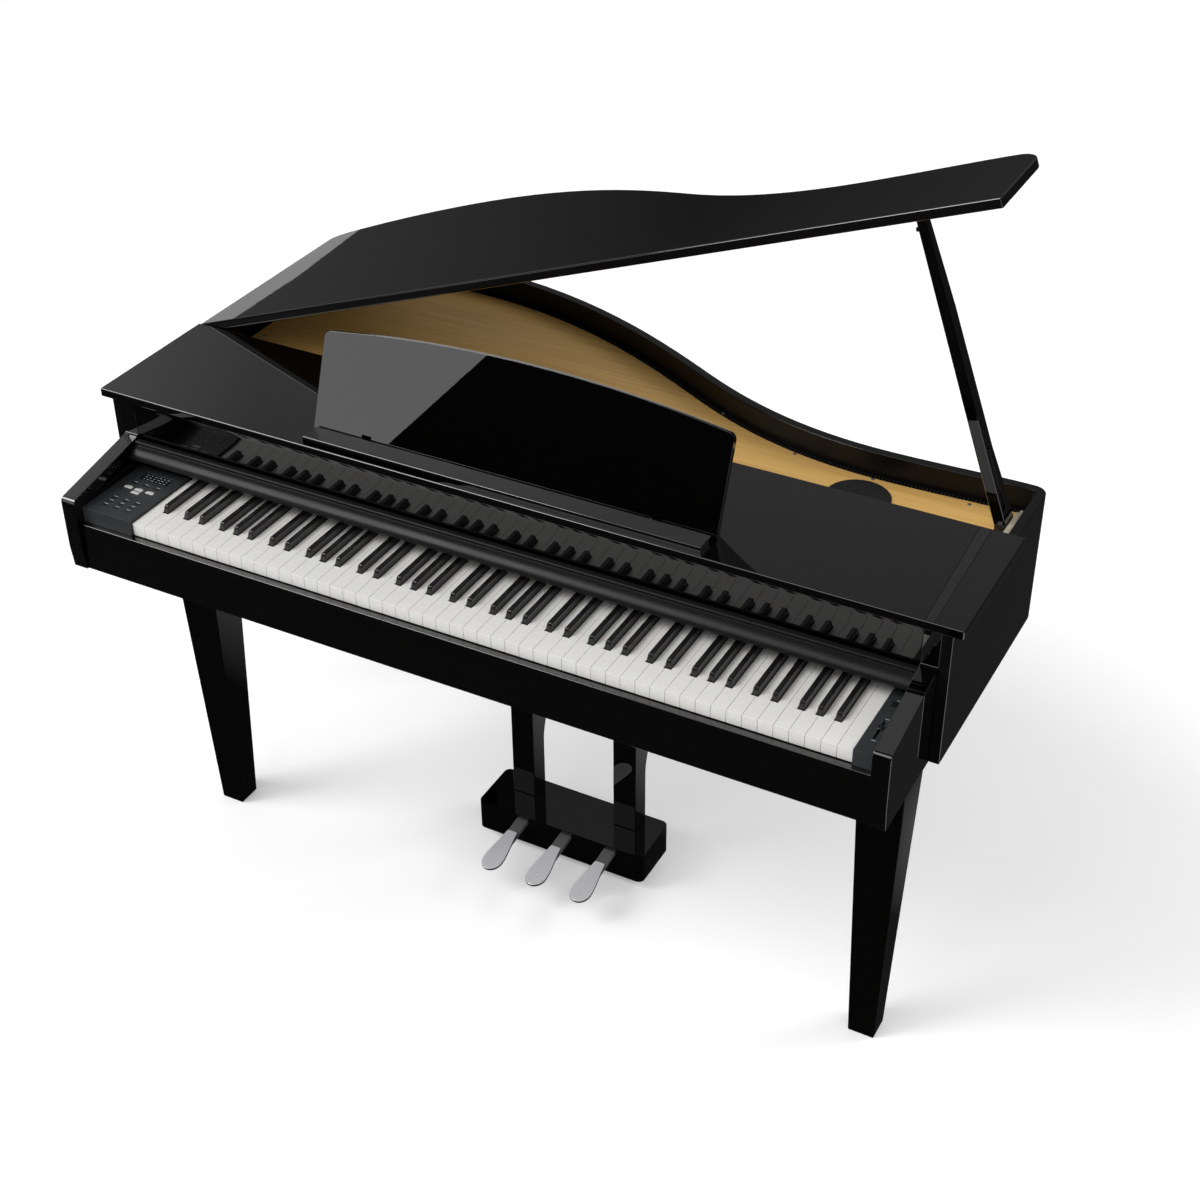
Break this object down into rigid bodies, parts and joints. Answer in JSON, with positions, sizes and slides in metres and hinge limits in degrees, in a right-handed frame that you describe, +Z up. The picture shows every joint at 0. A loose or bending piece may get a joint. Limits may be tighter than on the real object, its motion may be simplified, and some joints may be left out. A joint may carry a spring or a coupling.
{
  "type": "digital grand piano",
  "caption": "Small digital grand piano in black with an open lid on a prop, music desk, sliding key cover, tapered legs and a pedal lyre.",
  "frame": {"origin": "floor level, in the middle of the overall width and depth", "axes": "+X to the treble side (the player's right), +Y from the player to the tail, +Z up"},
  "size_m": [1.47, 0.878, 1.3691],
  "materials": {
    "polished_ebony": "polished black lacquer on wood, mirror gloss",
    "satin_black": "satin black lacquer on board",
    "white_key_plastic": "moulded off-white key tops, soft gloss",
    "black_key_plastic": "fine-grained black key tops",
    "panel_plastic": "dark grey moulded plastic, fine texture",
    "pale_plastic": "pale grey push-button caps",
    "golden_spruce": "golden stained spruce veneer, thin varnish",
    "pale_wood": "unfinished pale wood block",
    "chrome": "polished chrome plate",
    "zinc_steel": "zinc-plated steel",
    "circuit_board": "green circuit board with components",
    "speaker_cloth": "black speaker cloth over a driver"
  },
  "bodies": {
    "case": {"case_rim": "polished_ebony", "bottom_board": "satin_black", "left_arm": "polished_ebony", "right_arm": "polished_ebony", "key_slip": "polished_ebony", "name_board": "polished_ebony", "top_board": "polished_ebony", "cross_rail": "satin_black", "key_frame": "panel_plastic", "bass_keys": "white_key_plastic", "treble_keys": "white_key_plastic", "hinge_front": "zinc_steel", "hinge_rear": "zinc_steel", "prop_bracket": "zinc_steel", "soundboard": "golden_spruce", "vent_strip": "satin_black", "prop_cleat": "pale_wood", "left_speaker": "speaker_cloth", "right_speaker": "speaker_cloth", "desk_ledge": "polished_ebony", "left_control_panel": "panel_plastic", "right_control_panel": "panel_plastic", "left_leg": "polished_ebony", "right_leg": "polished_ebony", "rear_leg": "polished_ebony", "left_lyre_column": "polished_ebony", "right_lyre_column": "polished_ebony", "pedal_box": "polished_ebony", "main_board": "circuit_board", "power_inlet": "panel_plastic"},
    "lid": {"lid": "polished_ebony", "hinge_leaf_front": "zinc_steel", "hinge_leaf_rear": "zinc_steel"},
    "long_prop": {"lid_prop": "polished_ebony"},
    "nested_prop": {"short_prop": "polished_ebony"},
    "desk": {"music_desk": "polished_ebony"},
    "stay": {"desk_stay": "zinc_steel"},
    "cover": {"key_cover": "satin_black"},
    "slider": {"volume_slider": "panel_plastic"},
    "power": {"power_button": "panel_plastic"},
    "tempo": {"tempo_button": "pale_plastic"},
    "value_up": {"value_up_button": "pale_plastic"},
    "value_down": {"value_down_button": "pale_plastic"},
    "select": {"select_button": "pale_plastic"},
    "soft": {"soft_pedal": "chrome"},
    "sostenuto": {"sostenuto_pedal": "chrome"},
    "damper": {"damper_pedal": "chrome"},
    "note_c": {"key_c": "white_key_plastic"},
    "note_c_sharp": {"key_c_sharp": "black_key_plastic"},
    "note_d": {"key_d": "white_key_plastic"},
    "note_d_sharp": {"key_d_sharp": "black_key_plastic"},
    "note_e": {"key_e": "white_key_plastic"},
    "note_f": {"key_f": "white_key_plastic"},
    "note_f_sharp": {"key_f_sharp": "black_key_plastic"},
    "note_g": {"key_g": "white_key_plastic"},
    "note_g_sharp": {"key_g_sharp": "black_key_plastic"},
    "note_a": {"key_a": "white_key_plastic"},
    "note_a_sharp": {"key_a_sharp": "black_key_plastic"},
    "note_b": {"key_b": "white_key_plastic"}
  },
  "joints": [
    {"name": "lid_lift", "type": "hinge", "parent": "case", "child": "lid", "pos_m": [-0.7226, 0.17075, 0.8539], "axis": [0, -1, 0], "range_deg": [0, 50]},
    {"name": "prop_fold", "type": "hinge", "parent": "case", "child": "long_prop", "pos_m": [0.684, 0.045, 0.848], "axis": [0, -1, 0], "range_deg": [0, 69]},
    {"name": "short_prop_swing", "type": "hinge", "parent": "long_prop", "child": "nested_prop", "pos_m": [0.67711, 0.045, 0.87848], "axis": [0, 1, 0], "range_deg": [0, 90]},
    {"name": "desk_fold", "type": "hinge", "parent": "case", "child": "desk", "pos_m": [0, -0.2241, 0.8777], "axis": [-1, 0, 0], "range_deg": [0, 70]},
    {"name": "stay_fold", "type": "hinge", "parent": "desk", "child": "stay", "pos_m": [0, -0.19965, 0.93904], "axis": [1, 0, 0], "range_deg": [0, 120]},
    {"name": "cover_slide", "type": "slide", "parent": "case", "child": "cover", "axis": [0, -0.989, -0.1478], "range_m": [0, 0.1415]},
    {"name": "volume_slide", "type": "slide", "parent": "case", "child": "slider", "axis": [0, 1, 0], "range_m": [-0.0225, 0.0168]},
    {"name": "power_press", "type": "slide", "parent": "case", "child": "power", "axis": [0, 0, -1], "range_m": [0, 0.001], "stiffness_N_per_m": 300, "springref_m": -0.003},
    {"name": "tempo_press", "type": "slide", "parent": "case", "child": "tempo", "axis": [0, 0, -1], "range_m": [0, 0.001], "stiffness_N_per_m": 300, "springref_m": -0.003},
    {"name": "value_up_press", "type": "slide", "parent": "case", "child": "value_up", "axis": [0, 0, -1], "range_m": [0, 0.001], "stiffness_N_per_m": 300, "springref_m": -0.003},
    {"name": "value_down_press", "type": "slide", "parent": "case", "child": "value_down", "axis": [0, 0, -1], "range_m": [0, 0.001], "stiffness_N_per_m": 300, "springref_m": -0.003},
    {"name": "select_press", "type": "slide", "parent": "case", "child": "select", "axis": [0, 0, -1], "range_m": [0, 0.001], "stiffness_N_per_m": 300, "springref_m": -0.003},
    {"name": "soft_press", "type": "hinge", "parent": "case", "child": "soft", "pos_m": [-0.07399, -0.033, 0.072], "axis": [1, 0, 0], "range_deg": [0, 4.4], "stiffness_Nm_per_rad": 20, "springref_deg": -2.86},
    {"name": "sostenuto_press", "type": "hinge", "parent": "case", "child": "sostenuto", "pos_m": [0.01399, -0.033, 0.072], "axis": [1, 0, 0], "range_deg": [0, 4.4], "stiffness_Nm_per_rad": 20, "springref_deg": -2.86},
    {"name": "damper_press", "type": "hinge", "parent": "case", "child": "damper", "pos_m": [0.10197, -0.033, 0.072], "axis": [1, 0, 0], "range_deg": [0, 4.4], "stiffness_Nm_per_rad": 20, "springref_deg": -2.86},
    {"name": "key_c_press", "type": "hinge", "parent": "case", "child": "note_c", "pos_m": [-0.02715, -0.198, 0.72], "axis": [1, 0, 0], "range_deg": [0, 2.6], "stiffness_Nm_per_rad": 1, "springref_deg": -14.32},
    {"name": "key_c_sharp_press", "type": "hinge", "parent": "case", "child": "note_c_sharp", "pos_m": [-0.0176, -0.198, 0.72], "axis": [1, 0, 0], "range_deg": [0, 2.6], "stiffness_Nm_per_rad": 1, "springref_deg": -6.88},
    {"name": "key_d_press", "type": "hinge", "parent": "case", "child": "note_d", "pos_m": [-0.00365, -0.198, 0.72], "axis": [1, 0, 0], "range_deg": [0, 2.6], "stiffness_Nm_per_rad": 1, "springref_deg": -14.32},
    {"name": "key_d_sharp_press", "type": "hinge", "parent": "case", "child": "note_d_sharp", "pos_m": [0.0117, -0.198, 0.72], "axis": [1, 0, 0], "range_deg": [0, 2.6], "stiffness_Nm_per_rad": 1, "springref_deg": -6.88},
    {"name": "key_e_press", "type": "hinge", "parent": "case", "child": "note_e", "pos_m": [0.01985, -0.198, 0.72], "axis": [1, 0, 0], "range_deg": [0, 2.6], "stiffness_Nm_per_rad": 1, "springref_deg": -14.32},
    {"name": "key_f_press", "type": "hinge", "parent": "case", "child": "note_f", "pos_m": [0.04335, -0.198, 0.72], "axis": [1, 0, 0], "range_deg": [0, 2.6], "stiffness_Nm_per_rad": 1, "springref_deg": -14.32},
    {"name": "key_f_sharp_press", "type": "hinge", "parent": "case", "child": "note_f_sharp", "pos_m": [0.0519, -0.198, 0.72], "axis": [1, 0, 0], "range_deg": [0, 2.6], "stiffness_Nm_per_rad": 1, "springref_deg": -6.88},
    {"name": "key_g_press", "type": "hinge", "parent": "case", "child": "note_g", "pos_m": [0.06685, -0.198, 0.72], "axis": [1, 0, 0], "range_deg": [0, 2.6], "stiffness_Nm_per_rad": 1, "springref_deg": -14.32},
    {"name": "key_g_sharp_press", "type": "hinge", "parent": "case", "child": "note_g_sharp", "pos_m": [0.0791, -0.198, 0.72], "axis": [1, 0, 0], "range_deg": [0, 2.6], "stiffness_Nm_per_rad": 1, "springref_deg": -6.88},
    {"name": "key_a_press", "type": "hinge", "parent": "case", "child": "note_a", "pos_m": [0.09035, -0.198, 0.72], "axis": [1, 0, 0], "range_deg": [0, 2.6], "stiffness_Nm_per_rad": 1, "springref_deg": -14.32},
    {"name": "key_a_sharp_press", "type": "hinge", "parent": "case", "child": "note_a_sharp", "pos_m": [0.1066, -0.198, 0.72], "axis": [1, 0, 0], "range_deg": [0, 2.6], "stiffness_Nm_per_rad": 1, "springref_deg": -6.88},
    {"name": "key_b_press", "type": "hinge", "parent": "case", "child": "note_b", "pos_m": [0.11385, -0.198, 0.72], "axis": [1, 0, 0], "range_deg": [0, 2.6], "stiffness_Nm_per_rad": 1, "springref_deg": -14.32}
  ],
  "couplings": [
    {"joint": "stay_fold", "follows": "desk_fold", "ratio": 1.7143}
  ]
}
